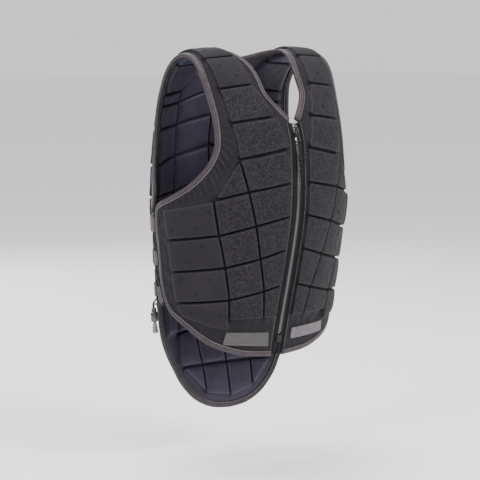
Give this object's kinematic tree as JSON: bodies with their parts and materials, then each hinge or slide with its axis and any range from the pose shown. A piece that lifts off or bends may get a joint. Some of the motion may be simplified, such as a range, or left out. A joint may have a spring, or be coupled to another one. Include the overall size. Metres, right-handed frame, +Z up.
{
  "type": "equestrian body protector",
  "caption": "Padded riding vest that guards the chest, back and ribs in a fall, with tiled foam panels, a front zip, laced sides and a tail guard.",
  "frame": {"origin": "midway between the two shoulder straps, level with the lining at the top of the shoulders, where the wearer's shoulders carry the vest", "axes": "+Z up, the front with its zip faces -Y, +X to the wearer's left"},
  "size_m": [0.395, 0.2632, 0.6397],
  "materials": {
    "outer_fabric": "charcoal-black textured mesh over foam tiles",
    "lining_fabric": "smooth dark navy knitted lining over the inner side of the foam tiles",
    "edge_tape": "ribbed dark purplish-grey edge tape with a soft sheen",
    "zip_tape": "black woven zip tape",
    "zip_plastic": "glossy black moulded plastic",
    "zip_metal": "glossy black painted metal",
    "loop_webbing": "ribbed grey-purple webbing",
    "lace": "black braided elastic cord",
    "lock_plastic": "smoky grey plastic",
    "rubber_label": "matte grey rubber",
    "woven_label": "grey woven cloth"
  },
  "bodies": {
    "root": {"front_left": "outer_fabric", "front_right": "outer_fabric", "back": "outer_fabric", "binding_left": "edge_tape", "binding_right": "edge_tape", "binding_neck": "edge_tape", "binding_tail": "edge_tape", "zip_tape_left": "zip_tape", "zip_tape_right": "zip_tape", "zip_chain": "zip_plastic", "zip_slider": "zip_metal", "zip_link": "zip_metal", "zip_pull": "zip_plastic", "zip_box": "zip_plastic", "side_lace_left": "lace", "side_lace_right": "lace", "cord_lock_left": "lock_plastic", "cord_lock_right": "lock_plastic", "cord_end_left": "lock_plastic", "cord_end_right": "lock_plastic", "rubber_patch": "rubber_label", "woven_patch": "woven_label", "side_loop_front_left_1": "loop_webbing", "side_loop_front_left_2": "loop_webbing", "side_loop_front_left_3": "loop_webbing", "side_loop_front_right_1": "loop_webbing", "side_loop_front_right_2": "loop_webbing", "side_loop_front_right_3": "loop_webbing", "side_loop_back_left_1": "loop_webbing", "side_loop_back_left_2": "loop_webbing", "side_loop_back_left_3": "loop_webbing", "side_loop_back_right_1": "loop_webbing", "side_loop_back_right_2": "loop_webbing", "side_loop_back_right_3": "loop_webbing"}
  },
  "joints": []
}
